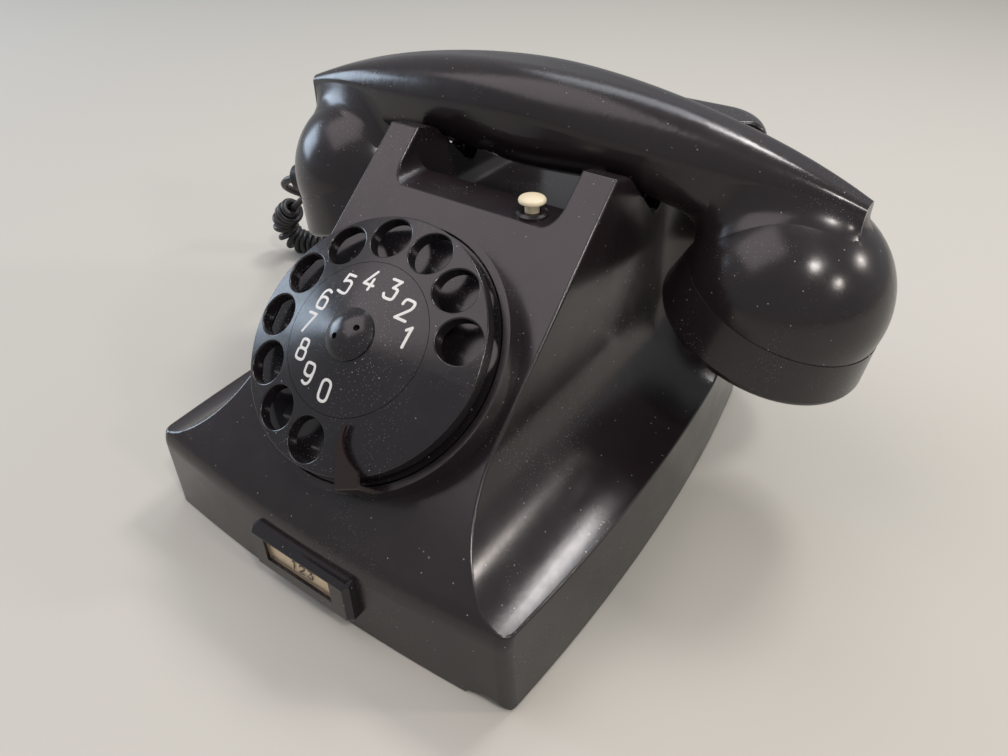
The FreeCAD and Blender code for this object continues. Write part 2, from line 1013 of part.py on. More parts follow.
def number_disc():
    """Thin cone that lies in the step of the wheel."""
    bore, reach, flat = S.shaft_radius + 0.05, S.disc_radius, S.nut_radius
    return turned(
        "disc",
        [
            (bore, cone_height(flat) - S.disc_thick),
            (flat, cone_height(flat) - S.disc_thick),
            (reach, cone_height(reach) - S.disc_thick),
            (reach, cone_height(reach)),
            (flat, cone_height(flat)),
            (bore, cone_height(flat)),
        ],
        **dial_place(S.wheel_rise),
    )


def centre_nut():
    """Low domed nut with two holes for a pin spanner."""
    rim = 0.6
    reach, rise = S.nut_radius, S.nut_rise
    dome_radius = (reach * reach + (rise - rim) * (rise - rim)) / (2 * (rise - rim))
    nut = turned(
        "nut",
        [(0, 0), (reach, 0), (reach, rim, dome_radius), (0, rise)],
    )
    holes = []
    for hand, sign in (("first", 1), ("second", -1)):
        x = sign * S.pin_hole_circle * cosine(S.pin_hole_turn)
        y = sign * S.pin_hole_circle * sine(S.pin_hole_turn)
        holes.append(cylinder(f"nut_hole_{hand}", S.pin_hole_radius, 10, x, y, rim))
    solid = cut("nut_solid", nut, *holes)
    return place(solid, **dial_place(S.wheel_rise + cone_height(S.nut_radius)))


def dial_shaft():
    """The shaft that the wheel is clamped to, with its shoulder."""
    low = -S.case_depth - 1
    top = S.wheel_rise + cone_height(S.nut_radius)
    shaft = cylinder("shaft_rod", S.shaft_radius, top - low, z=low)
    bottom = S.wheel_rise + cone_height(S.hub_radius) - S.wheel_thick
    shoulder = cylinder("shaft_shoulder", S.shaft_radius + 1.4, 2.6, z=bottom - 2.6)
    return place(fuse("shaft_solid", shaft, shoulder), **dial_place(0))


def gear(name, radius, teeth, thick, bore, phase):
    """A spur gear with straight-sided teeth. Its teeth count comes from the sheet."""
    count = int(teeth.value)
    rod = cylinder(f"{name}_web", radius - S.tooth_height / 2, thick)
    tools = []
    for number in range(count):
        tooth = slab(
            f"{name}_tooth_{number}",
            S.tooth_height + 1,
            S.tooth_width,
            thick,
        )
        turn = 360.0 * (number + phase) / count
        angle = math.radians(turn)
        reach = radius.value - S.tooth_height.value / 2 - 1
        half = S.tooth_width.value / 2
        outward = V(math.cos(angle), math.sin(angle), 0)
        corner = reach * outward + half * V(outward.y, -outward.x, 0)
        tooth.Placement = FreeCAD.Placement(corner, FreeCAD.Rotation(V(0, 0, 1), turn))
        tools.append(tooth)
    whole = fuse(f"{name}_toothed", rod, *tools)
    return cut(f"{name}_bored", whole, cylinder(f"{name}_bore", bore, 20, z=-5))


def dial_gear():
    low = -S.case_depth + S.case_wall + 4.5
    solid = gear("main_gear", S.gear_radius, S.gear_teeth, S.gear_thick, S.shaft_radius + 0.05, 0.0)
    return place(solid, **dial_place(low))


PINION_RADIUS = S.gear_radius * S.pinion_teeth / S.gear_teeth
PINION_TURN = 200.0
# A gap of the pinion faces the tooth of the gear that points at it.
PINION_PHASE = (20.0 - 15.0) / 30.0


def pinion_place(rise):
    reach = S.gear_radius + PINION_RADIUS + 0.15
    angle = size(PINION_TURN)
    return dial_place(rise, reach * cosine(angle), reach * sine(angle))


def pulse_pinion():
    """Pinion, spindle and the three-lobed cam that works the contacts."""
    low = -S.case_depth + S.case_wall
    wheel = gear("pinion", PINION_RADIUS, S.pinion_teeth, S.gear_thick, 0.6, PINION_PHASE)
    wheel = place(wheel, z=4.5)
    spindle = cylinder("pinion_spindle", 1.2, 14, z=0.3)
    cam = common(
        "cam",
        cylinder("cam_round", 5.2, 1.6, z=9),
        *[
            slab(
                f"cam_side_{i}",
                8.4,
                12,
                4,
                *cam_corner(i),
                8,
                V(0, 0, 1),
                120 * i,
            )
            for i in range(3)
        ],
    )
    return place(fuse("pinion_solid", wheel, spindle, cam), **pinion_place(low))


def cam_corner(index):
    angle = math.radians(120 * index)
    x, y = -4.2, -6.0
    return x * math.cos(angle) - y * math.sin(angle), x * math.sin(angle) + y * math.cos(angle)


def finger_stop():
    """Hooked stop: a leg on the bezel, a bend over the wheel's rim and a curved, pointed blade."""
    out, tip, left, right = S.stop_root, S.stop_tip, S.stop_left, S.stop_right
    reach = out + 1.2
    over = S.wheel_rise + S.stop_over_wheel
    blade = padded(
        "stop_blade",
        "XY_Plane",
        [
            (tip, 0.0, 22),
            (tip + 6.6, -left),
            (reach + 3, -left + 0.1),
            (reach + 3, right),
            (out - 2.2, right, -14),
            (tip + 6.1, -0.35, -8),
            (tip + 0.6, 0.75),
        ],
        S.stop_thick,
        z=over + cone_height(0) + S.stop_thick / 2,
        axis=V(0, 1, 0),
        turn=S.wheel_slope,
    )
    leg = slab(
        "stop_leg",
        1.2,
        right + left - 0.1,
        over - S.bezel_rise,
        x=out,
        y=-left + 0.1,
        z=S.bezel_rise,
    )
    beyond = slab("stop_beyond", 10, 30, 40, x=reach, y=-15, z=0)
    bent = cut("stop_trimmed", fuse("stop_joined", blade, leg), beyond)

    def outer_bend(edge):
        spot = middle(edge)
        return along(edge, V(0, 1, 0)) and spot.x > reach.value - 0.1 and spot.z > over.value + 0.2

    solid = round_edges("stop_solid", bent, 0.8, outer_bend)
    turn = FreeCAD.Rotation(V(0, 0, 1), S.stop_turn.value)
    tilt = FreeCAD.Rotation(V(1, 0, 0), S.panel_tilt.value)
    solid.Placement = FreeCAD.Placement(V(0, DIAL_Y.value, DIAL_Z.value), tilt.multiply(turn))
    return solid


# ---------------------------------------------------------------- earth button


def earth_button():
    """Mushroom button: a stem, an overhanging cap with a rounded rim and a low dome."""
    rise, radius = S.button_cap_rise, S.button_cap_radius
    stem, drop = S.button_stem_radius, S.button_stem_drop
    under = rise - 1.7
    shoulder, crown = radius - 0.7, 0.5
    dome_radius = (shoulder * shoulder + crown * crown) / (2 * size(crown))
    return turned(
        "button",
        [
            (0, -drop),
            (stem, -drop),
            (stem, under),
            (radius, under, 1.0),
            (shoulder, rise - crown, dome_radius),
            (0, rise),
        ],
        x=S.button_across,
        y=from_front(S.button_from_front),
        z=S.cradle_floor,
    )


def button_collar():
    return turned(
        "collar",
        [
            (S.button_stem_radius + 0.4, 0),
            (S.collar_radius, 0),
            (S.collar_radius, S.collar_rise * 0.5),
            (S.collar_radius - 0.9, S.collar_rise),
            (S.button_stem_radius + 0.4, S.collar_rise),
        ],
        x=S.button_across,
        y=from_front(S.button_from_front),
        z=S.cradle_floor,
    )


def button_contacts():
    """The bracket under the shelf that the stem pushes into."""
    x, y = S.button_across, from_front(S.button_from_front)
    roof = S.cradle_floor - S.wall
    low = S.cradle_floor - S.button_stem_drop - S.button_travel - 3
    outside = box("bracket_outside", (x - 8, x + 8), (y - 3, y + 3), (low, roof))
    inside = box("bracket_inside", (x - 6.8, x + 6.8), (y - 4, y + 4), (low + 1.2, roof + 1))
    return cut("button_bracket", outside, inside)


# ---------------------------------------------------------------- cradle switch


def cradle_plungers():
    y = from_front(S.saddle_line)
    top = S.grip_under - S.clearance
    plungers = []
    for hand, across in (("right", S.plunger_across), ("left", -S.plunger_across)):
        plungers.append(
            cylinder(
                f"plunger_{hand}",
                S.plunger_radius,
                top - S.bar_height,
                across,
                y,
                S.bar_height,
            )
        )
    rounded = [
        round_edges(
            f"{rod.Name}_tip",
            rod,
            S.plunger_radius * 0.6,
            lambda edge: not straight(edge) and middle(edge).z > S.bar_height.value + 5,
        )
        for rod in plungers
    ]
    return compound("plungers", rounded)


def switch_bar():
    y = from_front(S.saddle_line)
    half = S.plunger_across + S.plunger_radius
    return box("bar", (-half, half), (y - 3, y + 3), (S.bar_height - 2, S.bar_height))


def hook_switch():
    """Contact pile under the cradle trough."""
    y = from_front(S.saddle_line)
    roof = S.trough_floor - S.wall
    plate = box("switch_plate", (-14, 14), (y + 6, y + 26), (roof - 1.2, roof))
    pile = box("switch_pile", (-6, 6), (y + 8, y + 22), (roof - 20, roof))
    return fuse("switch_solid", plate, pile)


# ---------------------------------------------------------------- bells and circuit


def gong(name, across):
    y = from_front(S.gong_from_front)
    radius, rise, wall = S.gong_radius, S.gong_rise, S.gong_wall
    return turned(
        name,
        [
            (1.6, rise - wall),
            (radius * 0.5, rise - wall, 40),
            (radius - wall, 0),
            (radius, 0, -42),
            (radius * 0.5, rise),
            (1.6, rise),
        ],
        x=across,
        y=y,
        z=12,
    )


def ringer_frame():
    low = S.plate_bottom + S.plate_sheet
    y = from_front(S.gong_from_front)
    plate = box("ringer_plate", (-S.gong_across - 5, S.gong_across + 5), (y - 6, y + 6), (low, low + 1.6))
    arm = box("ringer_arm", (-12, 12), (y - 40, y - 5), (low, low + 1.6))
    posts = []
    for i, across in enumerate((S.gong_across, -S.gong_across)):
        posts.append(cylinder(f"gong_post_{i}", 3.2, 12 + S.gong_rise - S.gong_wall - low, across, y, low))
        posts.append(cylinder(f"gong_pin_{i}", 1.55, 12 + S.gong_rise + 1 - low, across, y, low))
    pivot = cylinder("clapper_pin", 1.2, 12, 0, y - 30, low)
    return fuse("ringer_solid", plate, arm, pivot, *posts)


def gong_screws():
    y = from_front(S.gong_from_front)
    heads = []
    for i, across in enumerate((S.gong_across, -S.gong_across)):
        head = cylinder(f"gong_screw_{i}", 3.6, 2, across, y, 12 + S.gong_rise)
        hole = cylinder(f"gong_screw_hole_{i}", 1.6, 1.2, across, y, 12 + S.gong_rise)
        heads.append(cut(f"gong_screw_cut_{i}", head, hole))
    return compound("screw_heads", heads)


def ringer_coils():
    low = S.plate_bottom + S.plate_sheet + 1.6
    # The poles stand 1.2 off the armature, which is 36 in front of the hammer.
    y = from_front(S.gong_from_front) - 36 - 1.2 - 3
    coils = []
    for i, across in enumerate((9.5, -9.5)):
        coils.append(
            cylinder(f"coil_{i}", 7.5, 26, across, y, low + 8, V(1, 0, 0), 90)
        )
    yoke = box("yoke", (-18, 18), (y, y + 3), (low, low + 16))
    return fuse("coil_solid", yoke, *coils)


def clapper():
    """Armature and hammer, on the pin between the coils and the gongs."""
    low = S.plate_bottom + S.plate_sheet + 1.6
    y = from_front(S.gong_from_front)
    hub = cylinder("clapper_hub", 3.2, 6, 0, y - 30, low + 3)
    rod = cylinder("clapper_rod", 0.9, 29, 0, y - 1, low + 6, V(1, 0, 0), 90)
    arms = box("armature", (-16, 16), (y - 36, y - 33), (low + 3, low + 9))
    neck = box("armature_neck", (-2.5, 2.5), (y - 34, y - 29), (low + 3, low + 9))
    ball = sphere("hammer", 2.3, 0, y, low + 6)
    bore = cylinder("clapper_bore", 1.25, 20, 0, y - 30, low - 3)
    return cut("clapper_solid", fuse("clapper_whole", hub, rod, arms, neck, ball), bore)


def induction_coil():
    low = S.plate_bottom + S.plate_sheet
    core = box("induction_core", (-58, -30), (from_front(34), from_front(58)), (low, low + 18))
    winding = cylinder("induction_winding", 9.5, 40, -44, from_front(66), low + 9.6, V(1, 0, 0), 90)
    return fuse("induction_solid", core, winding)


def capacitor():
    low = S.plate_bottom + S.plate_sheet
    can = box("can", (28, 58), (from_front(26), from_front(66)), (low, low + 20))
    return round_edges("can_round", can, 2.5, lambda edge: along(edge, V(0, 0, 1)))


def terminal_block():
    low = S.plate_bottom + S.plate_sheet
    block = box("terminal_base", (-24, 24), (from_front(56), from_front(70)), (low, low + 8))
    screws = [
        cylinder(f"terminal_{i}", 2.2, 2, -18 + 9 * i, from_front(63), low + 8) for i in range(5)
    ]
    return fuse("terminal_solid", block, *screws)


# ---------------------------------------------------------------- handset


def grip_section(tag, across, inner):
    """One upright cross-section of the grip, at a distance from the middle."""
    across = size(across)
    fall = S.grip_top_radius - root(S.grip_top_radius * S.grip_top_radius - across * across)
    narrow = S.grip_plan_radius - root(S.grip_plan_radius * S.grip_plan_radius - across * across)
    half, top = S.grip_half - narrow, GRIP_TOP - fall
    under, upper_round, lower_round = inner
    sketch = doc.addObject("Sketcher::SketchObject", f"grip_{tag}")
    outline(
        sketch,
        [
            (-half + lower_round, under),
            (half - lower_round, under, lower_round),
            (half, under + lower_round),
            (half, top - upper_round, upper_round),
            (half - upper_round, top),
            (-half + upper_round, top, upper_round),
            (-half, top - upper_round),
            (-half, under + lower_round, lower_round),
        ],
    )
    return place(
        sketch, x=across, y=from_front(S.saddle_line), axis=V(1, 1, 1), turn=120
    )


def cup_place(sign):
    """Keywords for place(): the seam circle of one cup, its own Z pointing up its axis."""
    ear = (EAR_ACROSS, EAR_HEIGHT, S.ear_tilt)
    across, height, tilt = ear if sign > 0 else (-MOUTH_ACROSS, MOUTH_HEIGHT, -S.mouth_tilt)
    return {
        "x": across,
        "y": from_front(S.saddle_line),
        "z": height,
        "axis": V(0, 1, 0),
        "turn": tilt,
    }


def handset_shell():
    corner, tip = S.grip_corner, S.spine_corner
    middle_section = (S.grip_under, corner, S.grip_under_corner)
    shoulder = (S.grip_under - 9, corner * 0.62, corner * 0.62)
    end = (S.grip_under - 12, tip, tip)
    stations = []
    for sign, hand in ((-1, "left"), (1, "right")):
        stations.append((f"{hand}_end", sign * GRIP_END, end))
        stations.append((f"{hand}_shoulder", sign * GRIP_END * 0.72, shoulder))
        stations.append((f"{hand}_saddle", sign * GRIP_END * 0.4, middle_section))
    stations.append(("middle", 0, middle_section))
    stations.sort(key=lambda station: size(station[1]).value)
    loft = doc.addObject("Part::Loft", "grip")
    loft.Sections = [grip_section(*station) for station in stations]
    loft.Solid = True
    loft.Ruled = False
    domes = []
    hollows = []
    for sign, hand in ((-1, "mouth"), (1, "ear")):
        dome = doc.addObject("Part::Sphere", f"{hand}_dome")
        bind(dome, "Radius", S.dome_radius)
        dome.Angle1 = 0
        domes.append(place(dome, **cup_place(sign)))
        room = doc.addObject("Part::Sphere", f"{hand}_room")
        bind(room, "Radius", S.dome_radius - S.dome_wall)
        room.Angle1 = -30
        hollows.append(place(room, **cup_place(sign)))
    reach = S.dome_radius.value

    def on_a_dome(edge):
        centre = domes[1].Placement.Base if middle(edge).x > 0 else domes[0].Placement.Base
        return all(abs((corner.Point - centre).Length - reach) < 0.01 for corner in edge.Vertexes)

    def where_grip_meets_dome(edge):
        return on_a_dome(edge) and edge.BoundBox.YLength > 0.5 and edge.Length < 3 * reach

    joined = fuse("handset_joined", loft, *domes)
    whole = round_edges("handset_whole", joined, S.dome_blend, where_grip_meets_dome)
    below = []
    for sign, hand in ((-1, "mouth"), (1, "ear")):
        under = doc.addObject("Part::Cylinder", f"{hand}_below")
        bind(under, "Radius", S.dome_radius + 8)
        bind(under, "Height", 40)
        # Turned upside down, so that it fills the space under the seam.
        where = cup_place(sign)
        where["turn"] = where["turn"] + 180
        below.append(place(under, **where))
    sleeve_hole = cylinder("gland_hole", S.gland_neck, 60, **gland_place())
    return cut("handset_solid", whole, *hollows, *below, sleeve_hole)


def cap_body(name, sign, rings):
    """A screwed cap: flared wall, rounded rim, slightly dished face, thread and sound holes."""
    wall, depth = S.cap_wall, S.cap_depth
    rim, seam = S.cap_rim_radius, S.dome_radius
    spigot = S.dome_radius - S.dome_wall - 0.45
    body = turned(
        name,
        [
            (0, -depth + 1.6),
            (rim - 8, -depth),
            (rim - 2.4, -depth, 2.6),
            (rim, -depth + 2.6),
            (seam + 0.2, 0),
            (spigot, 0),
            (spigot, 3.5),
            (spigot - 2, 3.5),
            (spigot - 2, -depth + 1.6 + wall),
            (0, -depth + 1.6 + wall),
        ],
    )
    tools = []
    for radius, count in rings:
        for number in range(count):
            angle = math.radians(360.0 * number / count)
            x, y = radius * math.cos(angle), radius * math.sin(angle)
            tools.append(
                cylinder(f"{name}_hole_{int(radius)}_{number}", S.sound_hole, 12, x, y, -depth - 2)
            )
    solid = cut(f"{name}_solid", body, *tools)
    return place(solid, **cup_place(sign))


def capsule(name, sign):
    floor = -S.cap_depth + 1.6 + S.cap_wall
    radius, thick = S.capsule_radius, S.capsule_thick
    return turned(
        name,
        [
            (0, floor),
            (radius, floor),
            (radius, floor + thick * 0.6),
            (radius - 5, floor + thick * 0.6),
            (radius - 5, floor + thick),
            (0, floor + thick),
        ],
        **cup_place(sign),
    )


# ---------------------------------------------------------------- cords

# The cord's route. Its first point is the tip of the handset's gland, its last one that of the base's.
LEAD_POINTS = [
    (-117.86, 22.91, 68.1),
    (-122.51, 21.92, 66.91),
    (-129.8, 24.0, 61.0),
    (-130.0, 37.0, 51.5),
    (-144.5, 50.0, 44.5),
    (-159.2, 55.0, 33.9),
    (-164.5, 55.3, 29.3),
]
CURL_POINTS = [
    (-164.5, 55.3, 29.3),
    (-168.6, 55.5, 25.7),
    (-174.6, 56.0, 20.2),
    (-175.2, 57.2, 12.5),
    (-169.6, 59.6, 6.8),
    (-161.4, 62.0, 6.8),
    (-151.5, 64.8, 6.8),
    (-138.0, 69.0, 6.8),
    (-123.0, 75.0, 6.8),
    (-102.0, 88.0, 6.8),
    (-80.0, 102.0, 6.8),
    (-57.0, 112.0, 6.8),
    (-35.0, 118.0, 6.8),
    (-14.0, 121.0, 6.8),
]
TAIL_POINTS = [
    (-14.0, 121.0, 6.8),
    (0.0, 123.0, 6.8),
    (13.0, 123.5, 4.6),
    (24.5, 119.0, 7.0),
    (30.0, 110.0, 11.0),
    (30.0, 98.0, 11.0),
]


def gland_place():
    """Keywords for place(): the mouthpiece dome's centre, Z pointing out through its gland."""
    turn = math.radians(S.gland_turn.value)
    return {
        "x": -MOUTH_ACROSS,
        "y": from_front(S.saddle_line),
        "z": MOUTH_HEIGHT,
        "axis": V(-math.sin(turn), -math.cos(turn), 0),
        "turn": S.gland_dip + 90,
    }


def handset_gland():
    """Stubby sleeve that the curly cord leaves the mouthpiece end by."""
    start = S.dome_radius - S.dome_wall
    collar = S.dome_radius + 3.2
    radius, end = S.gland_radius, S.dome_radius - 1.5 + S.gland_length
    return turned(
        "handset_gland_solid",
        [
            (0, start),
            (S.gland_neck, start),
            (S.gland_neck, collar),
            (radius, collar),
            (radius, end - 1.2),
            (radius - 1.2, end),
            (0, end),
        ],
        **gland_place(),
    )


def base_gland():
    """Sleeve in the rear wall, for the curly cord."""
    radius = S.gland_radius
    return turned(
        "base_gland_solid",
        [
            (0, -S.gland_out),
            (S.cord_radius + 0.8, -S.gland_out),
            (radius, 0),
            (radius, S.wall + 3),
            (0, S.wall + 3),
        ],
        x=S.base_gland_across,
        y=from_front(S.body_depth),
        z=S.inlet_height,
        axis=V(1, 0, 0),
        turn=90,
    )


def line_inlet():
    """Grommet in the rear wall, for a line cord."""
    radius, bore = S.gland_radius, S.grommet_bore
    return turned(
        "line_inlet_solid",
        [
            (bore, -2.0),
            (radius, -2.0),
            (radius, S.wall + 3),
            (bore, S.wall + 3),
        ],
        x=S.inlet_across,
        y=from_front(S.body_depth),
        z=S.inlet_height,
        axis=V(1, 0, 0),
        turn=90,
    )


def tube(name, points, radius):
    """A tube along straight runs that are joined by tangent arcs."""
    spots = [V(*point) for point in points]
    edges = []
    start = spots[0]
    tightest = 1e9
    for before, corner, after in zip(spots, spots[1:], spots[2:]):
        inward, outward = (corner - before), (after - corner)
        short = 0.45 * min(inward.Length, outward.Length)
        inward.normalize()
        outward.normalize()
        turn = inward.getAngle(outward)
        bend = short / math.tan(turn / 2)
        tightest = min(tightest, bend)
        first, last = corner - inward * short, corner + outward * short
        towards = (outward - inward).normalize()
        centre = corner + towards * (bend / math.cos(turn / 2))
        top = centre - towards * bend
        edges.append(Part.LineSegment(start, first).toShape())
        edges.append(Part.Arc(first, top, last).toShape())
        start = last
    edges.append(Part.LineSegment(start, spots[-1]).toShape())
    path = Part.Wire(edges)
    ring = Part.Wire(Part.makeCircle(radius.value, spots[0], spots[1] - spots[0]))
    solid = path.makePipeShell([ring], True, False)
    expected = math.pi * radius.value ** 2 * path.Length
    print(
        f"{name}: length {path.Length:.1f}, tightest radius {tightest:.1f}, volume ratio {solid.Volume / expected:.4f}"
    )
    feature = doc.addObject("Part::Feature", name)
    feature.Shape = solid
    return feature


def write_parts():
    """Checks every object, then writes each sub-part to its own file."""
    doc.recompute()
    for thing in doc.Objects:
        if "Invalid" in thing.State or "Error" in thing.State:
            raise RuntimeError(f"{thing.Label} failed: {thing.State}")
    os.makedirs("parts", exist_ok=True)
    for name, thing in NODES:
        shape = thing.Shape
        if shape.isNull() or not shape.isValid():
            raise RuntimeError(f"{name} has no valid shape")
        print(f"{name}: {len(shape.Solids)} solids, volume {shape.Volume:.0f}")
        shape.exportStep(f"parts/{name}.step")


node("housing", housing())
node("base_plate", base_plate())
node("base_screws", base_screws())
node("rubber_feet", rubber_feet())
node("label_frame", label_frame())
node("label_card", label_card())
node("label_window", label_window())
node("dial_case", dial_case())
node("dial_plate", dial_plate())
node("finger_wheel", finger_wheel())
node("number_disc", number_disc())
node("centre_nut", centre_nut())
node("dial_shaft", dial_shaft())
node("dial_gear", dial_gear())
node("pulse_pinion", pulse_pinion())
node("finger_stop", finger_stop())
node("earth_button", earth_button())
node("button_collar", button_collar())
node("button_contacts", button_contacts())
node("cradle_plungers", cradle_plungers())
node("switch_bar", switch_bar())
node("hook_switch", hook_switch())
node("gong_right", gong("gong_right_solid", S.gong_across))
node("gong_left", gong("gong_left_solid", -S.gong_across))
node("gong_screws", gong_screws())
node("ringer_frame", ringer_frame())
node("ringer_coils", ringer_coils())
node("clapper", clapper())
node("induction_coil", induction_coil())
node("capacitor", capacitor())
node("terminal_block", terminal_block())
node("handset_shell", handset_shell())
node("ear_cap", cap_body("ear_cap_body", 1, [(0, 1), (6, 6), (12, 12)]))
node("mouth_cap", cap_body("mouth_cap_body", -1, [(0, 1), (5, 6), (10, 12), (15, 18)]))
node("handset_gland", handset_gland())
node("base_gland", base_gland())
node("line_inlet", line_inlet())
node("handset_cord_lead", tube("lead", LEAD_POINTS, S.cord_radius))
node("handset_cord_curl", tube("curl", CURL_POINTS, S.curl_radius))
node("handset_cord_tail", tube("tail", TAIL_POINTS, S.cord_radius))
node("receiver_capsule", capsule("receiver", 1))
node("transmitter_capsule", capsule("transmitter", -1))
write_parts()
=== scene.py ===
"""Finishes, cord, digits and dust of the desk telephone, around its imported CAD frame.

Frame: metres, +X to the right, the dial faces -Y, +Z up, the origin on the table.
"""

import math

import bmesh
import bpy
import numpy as np
from mathutils import Matrix, Vector
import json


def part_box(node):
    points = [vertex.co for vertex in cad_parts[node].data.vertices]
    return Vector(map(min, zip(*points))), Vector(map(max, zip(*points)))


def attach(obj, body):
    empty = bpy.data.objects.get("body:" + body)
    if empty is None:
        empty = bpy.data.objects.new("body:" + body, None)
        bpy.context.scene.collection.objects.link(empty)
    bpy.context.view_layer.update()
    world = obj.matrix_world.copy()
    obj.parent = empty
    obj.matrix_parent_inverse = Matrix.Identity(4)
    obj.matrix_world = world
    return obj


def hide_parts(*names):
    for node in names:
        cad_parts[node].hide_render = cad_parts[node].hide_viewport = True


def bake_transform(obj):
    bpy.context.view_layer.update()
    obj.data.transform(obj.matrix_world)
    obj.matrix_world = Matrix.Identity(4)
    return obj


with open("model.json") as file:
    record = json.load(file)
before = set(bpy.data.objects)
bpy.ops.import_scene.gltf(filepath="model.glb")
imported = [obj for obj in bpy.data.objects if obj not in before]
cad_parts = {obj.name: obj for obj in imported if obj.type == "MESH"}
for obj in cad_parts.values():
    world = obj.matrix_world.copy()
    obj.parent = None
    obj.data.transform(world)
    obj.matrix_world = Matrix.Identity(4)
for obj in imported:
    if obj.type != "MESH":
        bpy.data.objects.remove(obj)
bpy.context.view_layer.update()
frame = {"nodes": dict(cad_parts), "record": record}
MM = 0.001
SAME_SPOT = 1e-7

# ---------------------------------------------------------------- camera, light and floor

CAMERA_SPOT = (0.1333, -0.1797, 0.1999)
CAMERA_AZIMUTH, CAMERA_ELEVATION, CAMERA_ROLL = 35.41, 37.61, -0.33
CAMERA_LENS = 27.56


def make_camera():
    data = bpy.data.cameras.new("camera")
    data.lens = CAMERA_LENS
    data.clip_start = 0.01
    camera = bpy.data.objects.new("camera", data)
    bpy.context.collection.objects.link(camera)
    turn = (
        Matrix.Rotation(math.radians(CAMERA_AZIMUTH), 4, "Z")
        @ Matrix.Rotation(math.radians(90 - CAMERA_ELEVATION), 4, "X")
        @ Matrix.Rotation(math.radians(CAMERA_ROLL), 4, "Z")
    )
    camera.matrix_world = Matrix.Translation(CAMERA_SPOT) @ turn
    bpy.context.scene.camera = camera


def soft_light(name, spot, aim, width, height, watts, colour):
    data = bpy.data.lights.new(name, "AREA")
    data.shape = "RECTANGLE"
    data.size, data.size_y = width, height
    data.energy = watts
    data.color = colour
    lamp = bpy.data.objects.new(name, data)
    bpy.context.collection.objects.link(lamp)
    lamp.location = spot
    lamp.rotation_euler = (Vector(aim) - Vector(spot)).to_track_quat("-Z", "Y").to_euler()


def make_stage():
    world = bpy.data.worlds.new("studio")
    world.use_nodes = True
    world.node_tree.nodes["Background"].inputs["Color"].default_value = (0.8, 0.82, 0.85, 1)
    world.node_tree.nodes["Background"].inputs["Strength"].default_value = 0.5
    bpy.context.scene.world = world
    bpy.context.scene.view_settings.view_transform = "Standard"
    middle = (0, 0, 0.06)
    soft_light("window", (-1.33, -0.22, 0.42), middle, 0.55, 0.5, 6, (0.68, 0.82, 1.0))
    soft_light("sky", (-0.35, 0.7, 1.25), middle, 0.7, 0.5, 3.5, (0.88, 0.93, 1.0))
    soft_light("room", (-0.47, -0.34, 1.05), middle, 0.85, 0.85, 4.0, (1.0, 0.86, 0.9))
    soft_light("lamp_scoop", (0.11, 0.5, 0.9), middle, 0.2, 0.2, 3.2, (1.0, 0.95, 0.94))
    soft_light("lamp_high", (0.58, -0.3, 0.92), middle, 0.11, 0.11, 3.0, (1.0, 0.93, 0.9))
    soft_light("lamp_side", (0.94, -0.15, 0.61), middle, 0.09, 0.09, 1.5, (1.0, 0.92, 0.86))
    soft_light("lamp_rear", (0.86, 0.47, 0.59), middle, 0.09, 0.09, 1.8, (1.0, 0.92, 0.86))
    bpy.ops.mesh.primitive_plane_add(size=6)
    floor = bpy.context.object
    floor.name = "floor"
    floor.data.materials.append(plain_material("floor", (0.49, 0.475, 0.425), 0.9)[0])


# ---------------------------------------------------------------- node materials


def plain_material(name, colour, roughness, metallic=0.0):
    """A material with its Principled shader."""
    material = bpy.data.materials.new(name)
    material.use_nodes = True
    shader = material.node_tree.nodes["Principled BSDF"]
    shader.inputs["Base Color"].default_value = (*colour, 1)
    shader.inputs["Roughness"].default_value = roughness
    shader.inputs["Metallic"].default_value = metallic
    return material, shader


class Nodes:
    """Short calls for building one material's node tree."""

    def __init__(self, material, shader):
        self.tree = material.node_tree
        self.shader = shader
        self.place = self.tree.nodes.new("ShaderNodeTexCoord").outputs["Object"]

    def link(self, source, target):
        self.tree.links.new(source, target)

    def noise(self, scale, detail=3.0, rough=0.5):
        node = self.tree.nodes.new("ShaderNodeTexNoise")
        node.inputs["Scale"].default_value = scale
        node.inputs["Detail"].default_value = detail
        node.inputs["Roughness"].default_value = rough
        self.link(self.place, node.inputs["Vector"])
        return node.outputs["Fac"]

    def cells(self, scale):
        node = self.tree.nodes.new("ShaderNodeTexVoronoi")
        node.inputs["Scale"].default_value = scale
        self.link(self.place, node.inputs["Vector"])
        return node.outputs["Distance"]

    def span(self, value, low, high, out_low=0.0, out_high=1.0):
        node = self.tree.nodes.new("ShaderNodeMapRange")
        node.inputs["From Min"].default_value = low
        node.inputs["From Max"].default_value = high
        node.inputs["To Min"].default_value = out_low
        node.inputs["To Max"].default_value = out_high
        self.link(value, node.inputs["Value"])
        return node.outputs["Result"]

    def math(self, kind, first, second):
        node = self.tree.nodes.new("ShaderNodeMath")
        node.operation = kind
        for slot, value in zip(node.inputs, (first, second)):
            if isinstance(value, (int, float)):
                slot.default_value = value
            else:
                self.link(value, slot)
        return node.outputs[0]

    def mix(self, share, first, second):
        """Mixes two colours."""
        node = self.tree.nodes.new("ShaderNodeMix")
        node.data_type = "RGBA"
        for slot, value in ((node.inputs[6], first), (node.inputs[7], second)):
            if isinstance(value, tuple):
                slot.default_value = (*value, 1)
            else:
                self.link(value, slot)
        self.link(share, node.inputs[0])
        return node.outputs[2]

    def bump(self, height, distance, strength):
        node = self.tree.nodes.new("ShaderNodeBump")
        node.inputs["Distance"].default_value = distance
        node.inputs["Strength"].default_value = strength
        self.link(height, node.inputs["Height"])
        return node.outputs["Normal"]

    def colour(self, value):
        self.link(value, self.shader.inputs["Base Color"])

    def roughness(self, value):
        self.link(value, self.shader.inputs["Roughness"])

    def normal(self, value):
        self.link(value, self.shader.inputs["Normal"])


